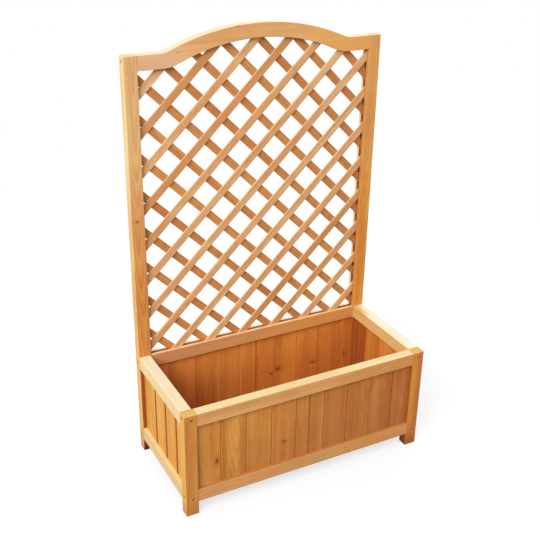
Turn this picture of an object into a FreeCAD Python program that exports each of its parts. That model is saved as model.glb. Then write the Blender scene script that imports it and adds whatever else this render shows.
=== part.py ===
import FreeCAD, Part
import math
import os

# Timber planter with an arched trellis. Millimetres, +Z up, X along the planter's length, Y from its
# front to its back. The origin is on the ground, under the middle of the planter.

# ---- Driving dimensions ----------------------------------------------------------------------------

length = 760.0                 # over the posts, left to right
depth = 360.0                  # over the posts, front to back
planter_height = 325.0         # ground to the top of the box
trellis_height = 1182.0        # ground to the top of the rear posts
arch_rise = 58.0               # how far the top rail's crown stands above the rear posts
arch_half_span = 270.0         # middle to where the arc would meet the rail's straight shoulder
underside_half_span = 253.0    # the same for the rail's underside
arch_ease_radius = 50.0        # hollow between the arc and the shoulder

post_width = 37.0              # post section along the length
post_depth = 30.0              # post section, front to back
rail_height = 39.0             # every rail, also across the arch
side_rail_thickness = 33.0     # rails of the left and right walls
side_rail_setback = 1.0        # side rails' outer face, in from the posts' face
foot_height = 41.0             # ground to the underside of the lower rails
edge_round = 1.5               # rounding of the planed edges of posts and rails

rail_groove_depth = 10.0       # grooves that hold boards and laths in the rails
post_groove_depth = 8.0        # grooves that hold boards and laths in the posts
slide_clearance = 0.2          # between a board or the lattice and each side of its groove
end_clearance = 1.5            # between a board's or lath's end and the bottom of a groove

board_thickness = 10.0
board_cover = 77.5             # visible width of a whole board
narrowest_board = 20.0         # no strip thinner than this is ripped to fill a wall
shoulder_play = 0.8            # how much wider than its cover a whole board may be set
joint_gap = 0.4                # between the shoulders of two boards
tongue_length = 5.0
tongue_thickness = 3.0
tongue_clearance = 0.1         # on each face of the tongue
tongue_end_clearance = 0.8
tongue_setback = 4.0           # outer face of a board to its tongue
vee_size = 2.6                 # chamfer beside a joint, on the outer face
tight_vee_size = 1.4           # the same at the joint in the middle of a long wall
inner_edge_size = 0.5          # eased corner on the inner face

front_middle_joint = 2.0       # joint in the middle of the front wall, right of the centre
front_end_left = 71.7          # visible width of the front wall's board beside the left post
front_end_right = 59.2         # and beside the right post
back_middle_joint = 0.0        # the same for the back wall
back_end_left = 58.0
back_end_right = 42.5
left_end_front = 59.5          # the left wall's boards beside its front post and its rear post
left_end_back = 85.5
right_end_front = 83.0         # the right wall's
right_end_back = 62.0

lath_width = 21.5
lath_thickness = 5.0
lath_edge = 0.8                # eased edges of a lath
lattice_rise = 0.98            # how far a lath rises for each millimetre along the planter
front_lath_pitch = 104.5       # upright distance between the front layer's laths
front_lath_height = 787.0      # where one of them crosses the middle line
back_lath_pitch = 103.8        # the same for the back layer
back_lath_height = 785.6
shortest_lath = 30.0

batten_width = 22.0
batten_height = 24.0
slat_count = 7
slat_gap = 7.75                # between slats, and beside the first and the last
slat_thickness = 12.0
slat_end_clearance = 2.0
batten_end_clearance = 1.0

frame_screw_radius = 2.25
frame_screw_head_radius = 4.5
frame_screw_length = 70.0
frame_screw_sink = 1.0         # head below the face of the post
screw_stagger = 3.5            # keeps crossing screws in one post apart
upper_screw_raise = 2.0        # screws of the upper rails sit above the middle of the plain wood
left_screw_shift = 4.0         # how far to the right the front left post's front screws are
base_screw_radius = 1.75
base_screw_head_radius = 3.5
base_screw_length = 32.0
base_screw_sink = 0.3
screw_tip = 5.0
hole_clearance = 0.2           # shank and head in a clearance hole
pilot_clearance = 0.05         # shank in a pilot hole
pilot_run_out = 1.0            # pilot hole beyond the screw's tip
recess_width = 0.9             # cross recess in a screw's head
recess_share = 0.8             # its depth, as a share of the head's
overcut = 1.0                  # how far a cut runs past the face that it opens
same = 0.001                   # lengths closer than this count as equal

# ---- Places worked out from them -------------------------------------------------------------------

half_length = length / 2
half_depth = depth / 2
post_inner_x = half_length - post_width
post_inner_y = half_depth - post_depth
wall_y = half_depth - post_depth / 2
wall_x = half_length - side_rail_setback - side_rail_thickness / 2
side_rail_inner_x = wall_x - side_rail_thickness / 2

lower_rail_top = foot_height + rail_height
upper_rail_bottom = planter_height - rail_height
top_rail_bottom = trellis_height - rail_height
board_bottom = lower_rail_top - rail_groove_depth
board_groove_top = upper_rail_bottom + rail_groove_depth
board_top = board_groove_top - end_clearance

post_seat = post_groove_depth - end_clearance
rail_seat = rail_groove_depth - end_clearance
board_groove_width = board_thickness + 2 * slide_clearance
lattice_groove_width = 2 * lath_thickness + 2 * slide_clearance
lattice_front_y = wall_y - lath_thickness
lattice_groove_bottom = planter_height - rail_groove_depth

slat_top = lower_rail_top
batten_top = slat_top - slat_thickness
batten_inner_y = post_inner_y - batten_width
floor_length = 2 * side_rail_inner_x
slat_width = (floor_length - (slat_count + 1) * slat_gap) / slat_count


# ---- Basic shapes ----------------------------------------------------------------------------------

def make_box(low, high):
    """A plain box between two corners."""
    return Part.makeBox(high[0] - low[0], high[1] - low[1], high[2] - low[2], FreeCAD.Vector(*low))


def eased_bar(low, high, along):
    """A box whose four edges along the given axis (0, 1 or 2) are rounded, as planed timber is."""
    bar = make_box(low, high)
    run = high[along] - low[along]
    axis = [0.0, 0.0, 0.0]
    axis[along] = 1.0
    direction = FreeCAD.Vector(*axis)
    long_edges = []
    for edge in bar.Edges:
        step = edge.Vertexes[1].Point.sub(edge.Vertexes[0].Point)
        if abs(abs(step.dot(direction)) - run) < same:
            long_edges.append(edge)
    return bar.makeFillet(edge_round, long_edges)


def inward(side, outer, size):
    """The interval that starts at side * outer and runs size towards the middle."""
    ends = (side * outer, side * (outer - size))
    return min(ends), max(ends)


def around(centre, width):
    """The interval of the given width about a centre."""
    return centre - width / 2, centre + width / 2


def turned(points):
    """The round solid whose half outline, as (radius, height) pairs, is turned about Z."""
    corners = [FreeCAD.Vector(radius, 0, height) for radius, height in points]
    corners.append(corners[0])
    face = Part.Face(Part.makePolygon(corners))
    return face.revolve(FreeCAD.Vector(0, 0, 0), FreeCAD.Vector(0, 0, 1), 360)


def pointed_along(shape, start, direction):
    """The shape, drawn from the origin along +Z, set at start and turned along direction."""
    placed = shape.copy()
    rotation = FreeCAD.Rotation(FreeCAD.Vector(0, 0, 1), direction)
    placed.Placement = FreeCAD.Placement(start, rotation)
    return placed


def cut_near(shape, tools):
    """The shape cut by those tools that reach it."""
    near = [tool for tool in tools if shape.BoundBox.intersect(tool.BoundBox)]
    return shape.cut(near) if near else shape


# ---- Screws ----------------------------------------------------------------------------------------

def screw_solid(radius, head_radius, size):
    """A countersunk screw with a cross recess, its head's top at the origin, pointing along +Z."""
    head_depth = head_radius - radius
    body = turned([(0, 0), (head_radius, 0), (radius, head_depth), (radius, size - screw_tip), (0, size)])
    arm = head_radius / 2
    half = recess_width / 2
    recess_depth = recess_share * head_depth
    slot_x = make_box((-arm, -half, -overcut), (arm, half, recess_depth))
    slot_y = make_box((-half, -arm, -overcut), (half, arm, recess_depth))
    return body.cut([slot_x, slot_y])


def clearance_hole(radius, head_radius, sink, thickness):
    """The countersunk hole through the piece under a screw's head."""
    wide = head_radius + hole_clearance
    narrow = radius + hole_clearance
    outside = -sink - overcut
    return turned([(0, outside), (wide, outside), (wide, 0), (narrow, head_radius - radius),
                   (narrow, thickness - sink), (0, thickness - sink)])


def pilot_hole(radius, size, sink, thickness):
    """The hole in the piece that a screw bites into."""
    wide = radius + pilot_clearance
    return turned([(0, thickness - sink), (wide, thickness - sink), (wide, size + pilot_run_out),
                   (0, size + pilot_run_out)])


def drive(joint, radius, head_radius, size, sink):
    """The screw of one joint with its clearance hole and pilot hole, in place.

    A joint is (point on the outer face, direction, thickness of the piece under the head)."""
    point, direction, thickness = joint
    start = point.add(direction * sink)
    return (pointed_along(screw_solid(radius, head_radius, size), start, direction),
            pointed_along(clearance_hole(radius, head_radius, sink, thickness), start, direction),
            pointed_along(pilot_hole(radius, size, sink, thickness), start, direction))


def frame_joints():
    """Every rail end is held by one screw, driven through the post."""
    plain_web = (upper_rail_bottom + rail_groove_depth + planter_height) / 2 + upper_screw_raise
    back_web = (upper_rail_bottom + planter_height) / 2
    lower_web = (foot_height + board_bottom) / 2
    top_web = (top_rail_bottom + rail_groove_depth + trellis_height) / 2
    joints = []
    for side_x in (-1, 1):
        across = FreeCAD.Vector(-side_x, 0, 0)
        for side_y in (-1, 1):
            inwards = FreeCAD.Vector(0, -side_y, 0)
            long_rail_web = back_web if side_y > 0 else plain_web
            stagger = -side_y * screw_stagger
            screw_x = side_x * wall_x + (left_screw_shift if side_x < 0 and side_y < 0 else 0)
            for height in (long_rail_web + stagger, lower_web + stagger):
                joints.append((FreeCAD.Vector(side_x * half_length, side_y * wall_y, height),
                               across, post_width))
            for height in (plain_web - stagger, lower_web - stagger):
                joints.append((FreeCAD.Vector(screw_x, side_y * half_depth, height),
                               inwards, post_depth))
        joints.append((FreeCAD.Vector(side_x * half_length, wall_y, top_web), across, post_width))
    return joints


# ---- Posts -----------------------------------------------------------------------------------------

def post(side_x, side_y, top, holes):
    """A post with stopped grooves for the wall boards, and on a rear post for the lattice."""
    low_x, high_x = inward(side_x, half_length, post_width)
    low_y, high_y = inward(side_y, half_depth, post_depth)
    solid = make_box((low_x, low_y, 0), (high_x, high_y, top))
    solid = solid.makeFillet(edge_round, solid.Edges)

    groove_x = inward(side_x, post_inner_x + post_groove_depth, post_groove_depth + overcut)
    groove_y = inward(side_y, post_inner_y + post_groove_depth, post_groove_depth + overcut)
    board_y = around(side_y * wall_y, board_groove_width)
    board_x = around(side_x * wall_x, board_groove_width)
    cuts = [make_box((groove_x[0], board_y[0], board_bottom), (groove_x[1], board_y[1], board_groove_top)),
            make_box((board_x[0], groove_y[0], board_bottom), (board_x[1], groove_y[1], board_groove_top))]
    if side_y > 0:
        lattice_y = around(wall_y, lattice_groove_width)
        cuts.append(make_box((groove_x[0], lattice_y[0], lattice_groove_bottom),
                             (groove_x[1], lattice_y[1], top_rail_bottom + rail_groove_depth)))
    return cut_near(solid, cuts + holes)


# ---- Rails -----------------------------------------------------------------------------------------

def long_rail(side_y, bottom, grooves, holes):
    """A front or back rail between two posts. A groove is (width, from height, to height)."""
    low_y, high_y = inward(side_y, half_depth, post_depth)
    rail = eased_bar((-post_inner_x, low_y, bottom), (post_inner_x, high_y, bottom + rail_height), 0)
    reach = post_inner_x + overcut
    cuts = []
    for width, low_z, high_z in grooves:
        groove_y = around(side_y * wall_y, width)
        cuts.append(make_box((-reach, groove_y[0], low_z), (reach, groove_y[1], high_z)))
    return cut_near(rail, cuts + holes)


def side_rail(side_x, bottom, grooves, holes):
    """A left or right rail between a front and a rear post."""
    low_x, high_x = inward(side_x, half_length - side_rail_setback, side_rail_thickness)
    rail = eased_bar((low_x, -post_inner_y, bottom), (high_x, post_inner_y, bottom + rail_height), 1)
    reach = post_inner_y + overcut
    cuts = []
    for width, low_z, high_z in grooves:
        groove_x = around(side_x * wall_x, width)
        cuts.append(make_box((groove_x[0], -reach, low_z), (groove_x[1], reach, high_z)))
    return cut_near(rail, cuts + holes)


def arch_arc(drop):
    """Radius and centre height of the main arc in the line that runs drop below the top rail's edge.

    The underside's arc is tighter than the upper edge's, and the lines between change evenly."""
    half_span = arch_half_span + (underside_half_span - arch_half_span) * drop / rail_height
    radius = (half_span ** 2 + arch_rise ** 2) / (2 * arch_rise)
    return radius, trellis_height + arch_rise - drop - radius


def arch_points(drop):
    """The corner points, left to right, of the line that runs drop below the top rail's upper edge.

    The line is a level shoulder, a hollow arc, the main arc, a hollow arc and a shoulder."""
    main_radius, centre_z = arch_arc(drop)
    hollow_radius = arch_ease_radius + drop
    hollow_z = trellis_height + arch_ease_radius
    reach = main_radius + hollow_radius
    hollow_x = math.sqrt(reach ** 2 - (hollow_z - centre_z) ** 2)
    share = main_radius / reach
    meet_x = hollow_x * share
    meet_z = centre_z + (hollow_z - centre_z) * share
    shoulder_z = trellis_height - drop
    middle_angle = (math.pi / 2 + math.atan2(hollow_z - meet_z, hollow_x - meet_x)) / 2
    middle_x = hollow_x - hollow_radius * math.cos(middle_angle)
    middle_z = hollow_z - hollow_radius * math.sin(middle_angle)
    right = [(meet_x, meet_z), (middle_x, middle_z), (hollow_x, shoulder_z), (post_inner_x, shoulder_z)]
    left = [(-x, z) for x, z in reversed(right)]
    return left + [(0, centre_z + main_radius)] + right


def arch_band(upper_drop, lower_drop, low_y, high_y):
    """The solid between two such lines, from low_y to high_y."""
    edges = []
    ends = []
    for drop in (upper_drop, lower_drop):
        line = [FreeCAD.Vector(x, low_y, z) for x, z in arch_points(drop)]
        edges.append(Part.makeLine(line[0], line[1]))
        for first in (1, 3, 5):
            edges.append(Part.Arc(*line[first:first + 3]).toShape())
        edges.append(Part.makeLine(line[7], line[8]))
        ends.append((line[0], line[8]))
    for upper, lower in zip(*ends):
        edges.append(Part.makeLine(upper, lower))
    outline = Part.Wire(Part.__sortEdges__(edges))
    return Part.Face(outline).extrude(FreeCAD.Vector(0, high_y - low_y, 0))


def arched_rail(holes):
    """The trellis's top rail, with the lattice groove in its underside."""
    rail = arch_band(0, rail_height, post_inner_y, half_depth)
    long_edges = []
    for edge in rail.Edges:
        lies_in_a_face = abs(edge.BoundBox.YLength) < same
        if lies_in_a_face and edge.BoundBox.XLength > same:
            long_edges.append(edge)
    rail = rail.makeFillet(edge_round, long_edges)
    low_y, high_y = around(wall_y, lattice_groove_width)
    groove = arch_band(rail_height - rail_groove_depth, rail_height + overcut, low_y, high_y)
    return cut_near(rail, [groove] + holes)


# ---- Wall boards -----------------------------------------------------------------------------------

def joints_before(first, last):
    """Where boards meet from first on, up to but without last: whole boards, then one ripped to the rest.

    A rest narrower than the narrowest board is shared with the whole board before it."""
    run = abs(last - first)
    count = max(1, math.ceil((run - shoulder_play) / board_cover))
    widths = [board_cover] * (count - 1)
    rest = run - sum(widths)
    if widths and rest < narrowest_board:
        widths[-1] = (board_cover + rest) / 2
    joints = [first]
    for width in widths:
        joints.append(joints[-1] + math.copysign(width, last - first))
    return joints


def long_wall_joints(end_left, middle, end_right):
    """Boards are laid from both posts, and the two that meet at the middle joint are ripped."""
    left = joints_before(-post_inner_x + end_left, middle)
    right = joints_before(post_inner_x - end_right, middle)
    return left + [middle] + right[::-1]


def side_wall_joints(end_front, end_back):
    """Boards are laid from the front post to the last one, beside the rear post."""
    last = post_inner_y - end_back
    return joints_before(-post_inner_y + end_front, last) + [last]


def board_outline(low, high, first, last, low_vee, high_vee):
    """A board's section as (along the wall, in from the outer face) pairs.

    The low edge has the groove and the high edge the tongue. The first and last board of a wall have a
    plain edge in the post's groove."""
    left = low if first else low + joint_gap / 2
    right = high if last else high - joint_gap / 2
    left_vee = 0 if first else low_vee
    right_vee = 0 if last else high_vee
    inner = board_thickness
    tongue_end = tongue_setback + tongue_thickness
    points = [(left + left_vee, 0), (right - right_vee, 0)]
    if right_vee:
        points.append((right, right_vee))
    if not last:
        points += [(right, tongue_setback), (right + tongue_length, tongue_setback),
                   (right + tongue_length, tongue_end), (right, tongue_end)]
    points += [(right, inner - inner_edge_size), (right - inner_edge_size, inner),
               (left + inner_edge_size, inner), (left, inner - inner_edge_size)]
    if not first:
        slot_end = left + tongue_length + tongue_end_clearance
        points += [(left, tongue_end + tongue_clearance), (slot_end, tongue_end + tongue_clearance),
                   (slot_end, tongue_setback - tongue_clearance), (left, tongue_setback - tongue_clearance)]
    if left_vee:
        points.append((left, left_vee))
    return points


def wall_boards(joints, middle, reach, to_plan):
    """All boards of one wall. to_plan turns an outline's pair into X and Y."""
    ends = [-reach - post_seat] + joints + [reach + post_seat]
    boards = []
    for index in range(len(ends) - 1):
        low, high = ends[index], ends[index + 1]
        low_vee = tight_vee_size if low == middle else vee_size
        high_vee = tight_vee_size if high == middle else vee_size
        outline = board_outline(low, high, index == 0, index == len(ends) - 2, low_vee, high_vee)
        corners = [FreeCAD.Vector(*to_plan(along, inwards), board_bottom) for along, inwards in outline]
        corners.append(corners[0])
        face = Part.Face(Part.makePolygon(corners))
        boards.append(face.extrude(FreeCAD.Vector(0, 0, board_top - board_bottom)))
    return boards


def all_walls():
    """The boards of the four walls, by wall name."""
    face_y = wall_y + board_thickness / 2
    face_x = wall_x + board_thickness / 2
    front = long_wall_joints(front_end_left, front_middle_joint, front_end_right)
    back = long_wall_joints(back_end_left, back_middle_joint, back_end_right)
    left = side_wall_joints(left_end_front, left_end_back)
    right = side_wall_joints(right_end_front, right_end_back)
    return {
        "front": wall_boards(front, front_middle_joint, post_inner_x, lambda u, v: (u, v - face_y)),
        "back": wall_boards(back, back_middle_joint, post_inner_x, lambda u, v: (u, face_y - v)),
        "left": wall_boards(left, None, post_inner_y, lambda u, v: (v - face_x, u)),
        "right": wall_boards(right, None, post_inner_y, lambda u, v: (face_x - v, u)),
    }


# ---- Lattice ---------------------------------------------------------------------------------------

def lath_bar(start, end):
    """A long bar with eased edges from start to end, both (x, z) on its middle line."""
    run = FreeCAD.Vector(end[0] - start[0], 0, end[1] - start[1])
    half = lath_width / 2
    outline = [(-half, lath_edge), (-half + lath_edge, 0), (half - lath_edge, 0), (half, lath_edge),
               (half, lath_thickness - lath_edge), (half - lath_edge, lath_thickness),
               (-half + lath_edge, lath_thickness), (-half, lath_thickness - lath_edge)]
    across = FreeCAD.Vector(-run.z, 0, run.x).normalize()
    origin = FreeCAD.Vector(start[0], lattice_front_y, start[1])
    corners = [origin.add(across * offset).add(FreeCAD.Vector(0, back, 0)) for offset, back in outline]
    corners.append(corners[0])
    return Part.Face(Part.makePolygon(corners)).extrude(run)


def rising_lath(middle_z):
    """The lath that rises to the right through (0, middle_z), cut to end in the grooves.

    Where it meets the arc, its end is one straight cut square to the arc's radius. Returns None where
    no useful length is left."""
    reach_x = post_inner_x + post_seat
    low_z = planter_height - rail_seat
    shoulder_z = top_rail_bottom + rail_seat
    seat_radius, seat_centre_z = arch_arc(rail_height - rail_seat)
    run_share = math.hypot(1, lattice_rise)
    half_cut = lath_width / 2 * run_share / lattice_rise

    above_centre = middle_z - seat_centre_z
    under_root = (run_share * seat_radius) ** 2 - above_centre ** 2
    arc_x = -length
    if under_root > 0:
        arc_x = (math.sqrt(under_root) - above_centre * lattice_rise) / run_share ** 2
    meets_arc = abs(arc_x) < underside_half_span - half_cut
    top_x = arc_x if meets_arc else (shoulder_z - middle_z) / lattice_rise
    low_x = max(-reach_x, (low_z - middle_z) / lattice_rise)
    high_x = min(reach_x, top_x)
    if (high_x - low_x) * run_share < shortest_lath:
        return None

    start_x = low_x - lath_width
    end_x = high_x + lath_width
    bar = lath_bar((start_x, middle_z + lattice_rise * start_x), (end_x, middle_z + lattice_rise * end_x))
    high_z = shoulder_z + arch_rise + rail_height if meets_arc else shoulder_z
    frame = make_box((-reach_x, post_inner_y, low_z), (reach_x, half_depth, high_z))
    lath = bar.common(frame)
    if meets_arc:
        end_z = middle_z + lattice_rise * arc_x
        end = FreeCAD.Vector(arc_x, post_inner_y, end_z)
        outwards = FreeCAD.Vector(arc_x, 0, end_z - seat_centre_z)
        size = 4 * lath_width
        block = make_box((-size, 0, 0), (size, post_depth, size))
        turn = math.degrees(math.atan2(outwards.x, outwards.z))
        block.rotate(FreeCAD.Vector(0, 0, 0), FreeCAD.Vector(0, 1, 0), turn)
        block.translate(end)
        lath = lath.cut(block)
    return lath


def lath_layer(height, pitch):
    """Rising laths at every pitch above and below the one that crosses the middle line at height."""
    steps = math.ceil(trellis_height / pitch)
    laths = [rising_lath(height + step * pitch) for step in range(-steps, steps + 1)]
    return [lath for lath in laths if lath is not None]


def lattice_layers():
    """The front layer's rising laths, and the back layer, which is mirrored and lies behind it."""
    front = lath_layer(front_lath_height, front_lath_pitch)
    back = []
    for lath in lath_layer(back_lath_height, back_lath_pitch):
        mirrored = lath.mirror(FreeCAD.Vector(0, 0, 0), FreeCAD.Vector(1, 0, 0))
        mirrored.translate(FreeCAD.Vector(0, lath_thickness, 0))
        back.append(mirrored)
    return front, back


# ---- Base ------------------------------------------------------------------------------------------

def base_joints(places):
    """Screws down through the slats' ends, and level screws through the battens into the rails."""
    down = FreeCAD.Vector(0, 0, -1)
    batten_middle_y = batten_inner_y + batten_width / 2
    batten_screw_z = (foot_height + batten_top) / 2
    gap_middles = [place - slat_gap / 2 for place in places[1:]]
    chosen = (gap_middles[0], gap_middles[len(gap_middles) // 2], gap_middles[-1])
    joints = []
    for side_y in (-1, 1):
        for place in places:
            point = FreeCAD.Vector(place + slat_width / 2, side_y * batten_middle_y, slat_top)
            joints.append((point, down, slat_thickness))
        for middle in chosen:
            point = FreeCAD.Vector(middle, side_y * batten_inner_y, batten_screw_z)
            joints.append((point, FreeCAD.Vector(0, side_y, 0), batten_width))
    return joints


def batten(side_y, holes):
    """A batten on the inner face of the front or back lower rail."""
    reach = side_rail_inner_x - batten_end_clearance
    low_y, high_y = inward(side_y, post_inner_y, batten_width)
    bar = eased_bar((-reach, low_y, batten_top - batten_height), (reach, high_y, batten_top), 0)
    return cut_near(bar, holes)


def slat(place, holes):
    """A base slat from batten to batten, between the lower rails."""
    reach = post_inner_y - slat_end_clearance
    bar = eased_bar((place, -reach, batten_top), (place + slat_width, reach, slat_top), 1)
    return cut_near(bar, holes)


# ---- Assembly --------------------------------------------------------------------------------------

frame_screws, post_holes, rail_holes = [], [], []
for joint in frame_joints():
    screw, clearance, pilot = drive(joint, frame_screw_radius, frame_screw_head_radius,
                                    frame_screw_length, frame_screw_sink)
    frame_screws.append(screw)
    post_holes.append(clearance)
    rail_holes.append(pilot)

slat_pitch = slat_width + slat_gap
slat_starts = [-side_rail_inner_x + slat_gap + index * slat_pitch for index in range(slat_count)]
base_screws, base_holes = [], []
for joint in base_joints(slat_starts):
    screw, clearance, pilot = drive(joint, base_screw_radius, base_screw_head_radius,
                                    base_screw_length, base_screw_sink)
    base_screws.append(screw)
    base_holes += [clearance, pilot]

board_slot_low = (board_groove_width, board_bottom, lower_rail_top + overcut)
board_slot_high = (board_groove_width, upper_rail_bottom - overcut, board_groove_top)
lattice_slot = (lattice_groove_width, lattice_groove_bottom, planter_height + overcut)

nodes = {
    "front_post_left": post(-1, -1, planter_height, post_holes),
    "front_post_right": post(1, -1, planter_height, post_holes),
    "rear_post_left": post(-1, 1, trellis_height, post_holes),
    "rear_post_right": post(1, 1, trellis_height, post_holes),
    "lower_rail_front": long_rail(-1, foot_height, [board_slot_low], rail_holes + base_holes),
    "lower_rail_back": long_rail(1, foot_height, [board_slot_low], rail_holes + base_holes),
    "lower_rail_left": side_rail(-1, foot_height, [board_slot_low], rail_holes),
    "lower_rail_right": side_rail(1, foot_height, [board_slot_low], rail_holes),
    "upper_rail_front": long_rail(-1, upper_rail_bottom, [board_slot_high], rail_holes),
    "upper_rail_back": long_rail(1, upper_rail_bottom, [board_slot_high, lattice_slot], rail_holes),
    "upper_rail_left": side_rail(-1, upper_rail_bottom, [board_slot_high], rail_holes),
    "upper_rail_right": side_rail(1, upper_rail_bottom, [board_slot_high], rail_holes),
    "arched_top_rail": arched_rail(rail_holes),
    "base_batten_front": batten(-1, base_holes),
    "base_batten_back": batten(1, base_holes),
    "frame_screws": Part.makeCompound(frame_screws),
    "base_screws": Part.makeCompound(base_screws),
}
for wall, boards in all_walls().items():
    for number, board in enumerate(boards, 1):
        nodes["%s_board_%02d" % (wall, number)] = board
for number, place in enumerate(slat_starts, 1):
    nodes["base_slat_%d" % number] = slat(place, base_holes)
front_laths, back_laths = lattice_layers()
nodes["lattice_front_laths"] = Part.makeCompound(front_laths)
nodes["lattice_back_laths"] = Part.makeCompound(back_laths)

os.makedirs("parts", exist_ok=True)
for name, shape in nodes.items():
    shape.exportStep("parts/%s.step" % name)
    print("%-22s %3d solids  %12.1f mm3" % (name, len(shape.Solids), shape.Volume))
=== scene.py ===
import math
import bpy
import numpy as np
from mathutils import Matrix, Vector


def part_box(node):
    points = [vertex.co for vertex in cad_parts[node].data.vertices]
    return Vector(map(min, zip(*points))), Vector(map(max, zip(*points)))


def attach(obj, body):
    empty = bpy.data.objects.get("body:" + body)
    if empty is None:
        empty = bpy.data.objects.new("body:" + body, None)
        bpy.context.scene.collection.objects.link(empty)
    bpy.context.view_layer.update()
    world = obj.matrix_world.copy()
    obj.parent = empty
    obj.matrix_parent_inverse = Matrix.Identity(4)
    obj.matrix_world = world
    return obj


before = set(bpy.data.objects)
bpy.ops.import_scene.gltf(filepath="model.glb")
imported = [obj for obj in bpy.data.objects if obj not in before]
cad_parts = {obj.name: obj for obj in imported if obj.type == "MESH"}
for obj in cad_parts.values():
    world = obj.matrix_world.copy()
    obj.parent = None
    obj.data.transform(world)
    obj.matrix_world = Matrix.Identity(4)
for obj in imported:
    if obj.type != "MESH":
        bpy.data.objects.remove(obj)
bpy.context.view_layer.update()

# ---- Posts --------------------------------------------------------------------------------------
# Four posts of planed softwood, stood upright with the grain running up them and brushed with a
# honey-brown stain. Their tops are sawn ends. The tops, some of the left sides and the two tall
# posts towards the top carry a painted highlight, and parts of the inner faces and the feet carry
# painted shade. Every rail end is screwed to a post.


def stain(red, green, blue):
    """A stain's colour as it looks on the wood, 0 to 255, as the shader wants it."""
    shares = [value / 255 for value in (red, green, blue)]
    return [((s + 0.055) / 1.055) ** 2.4 if s > 0.04045 else s / 12.92 for s in shares] + [1.0]


def put(tree, kind, inputs=None, **settings):
    """One node of a finish: its settings, and its inputs as values or as other nodes' outputs."""
    made = tree.nodes.new(kind)
    for key, value in settings.items():
        setattr(made, key, value)
    for key, value in (inputs or {}).items():
        if isinstance(value, bpy.types.NodeSocket):
            tree.links.new(value, made.inputs[key])
        else:
            made.inputs[key].default_value = value
    return made


def reckon(tree, operation, *values):
    """A sum on numbers, such as MULTIPLY or FRACT, and its result."""
    return put(tree, "ShaderNodeMath", dict(enumerate(values)), operation=operation).outputs[0]


def steer(tree, operation, *values):
    """A sum on vectors, and its result as a vector."""
    made = put(tree, "ShaderNodeVectorMath", dict(enumerate(values)), operation=operation)
    return made.outputs[0]


def along(tree, place, direction):
    """How far a place lies along a direction."""
    made = put(tree, "ShaderNodeVectorMath", {0: place, 1: direction}, operation="DOT_PRODUCT")
    return made.outputs["Value"]


def length_of(tree, place):
    """How long a vector is."""
    return put(tree, "ShaderNodeVectorMath", {0: place}, operation="LENGTH").outputs["Value"]


def parts_of(tree, place):
    """A vector's three parts."""
    return put(tree, "ShaderNodeSeparateXYZ", {0: place}).outputs


def in_half_sizes(tree, here, middle, half_sizes):
    """Where here lies from a middle, counted in half sizes. A half size of 0 counts nothing."""
    squeeze = [1.0 / half if half else 0.0 for half in half_sizes]
    return steer(tree, "MULTIPLY", steer(tree, "SUBTRACT", here, middle), squeeze)


def clouds(tree, place, scale, detail=2.0, rough=0.5):
    """Soft noise from about 0.3 to 0.7, with clouds of about 1 / scale in size."""
    inputs = {"Vector": place, "Scale": scale, "Detail": detail, "Roughness": rough}
    return put(tree, "ShaderNodeTexNoise", inputs).outputs["Fac"]


def grain_clouds(tree, place, squeeze, scale, detail=2.0, rough=0.5):
    """The same noise, drawn out along the grain: a squeeze of 0.1 makes clouds 10 times longer."""
    return clouds(tree, steer(tree, "MULTIPLY", place, (1.0, 1.0, squeeze)), scale, detail, rough)


def add_noise(tree, value, noise, weight):
    """A value plus a noise, which is counted from its middle of 0.5, times a weight."""
    return reckon(tree, "MULTIPLY_ADD", reckon(tree, "SUBTRACT", noise, 0.5), weight, value)


def fade(tree, value, low, high, at_low=0.0, at_high=1.0):
    """Turns value smoothly from at_low, where it is low, to at_high, where it is high."""
    inputs = {"Value": value, "From Min": low, "From Max": high, "To Min": at_low,
              "To Max": at_high}
    return put(tree, "ShaderNodeMapRange", inputs, interpolation_type="SMOOTHSTEP").outputs[0]


def blend_stain(tree, share, first, second, how="MIX"):
    """Two colours, mixed by share."""
    made = put(tree, "ShaderNodeMix", data_type="RGBA", blend_type=how)
    for number, value in ((0, share), (6, first), (7, second)):     # its factor and its colours
        if isinstance(value, bpy.types.NodeSocket):
            tree.links.new(value, made.inputs[number])
        else:
            made.inputs[number].default_value = value
    return made.outputs[2]


def new_finish(name):
    """A material with nothing in its tree, and the tree."""
    material = bpy.data.materials.new(name)
    material.use_nodes = True
    material.node_tree.nodes.clear()
    return material, material.node_tree


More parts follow.
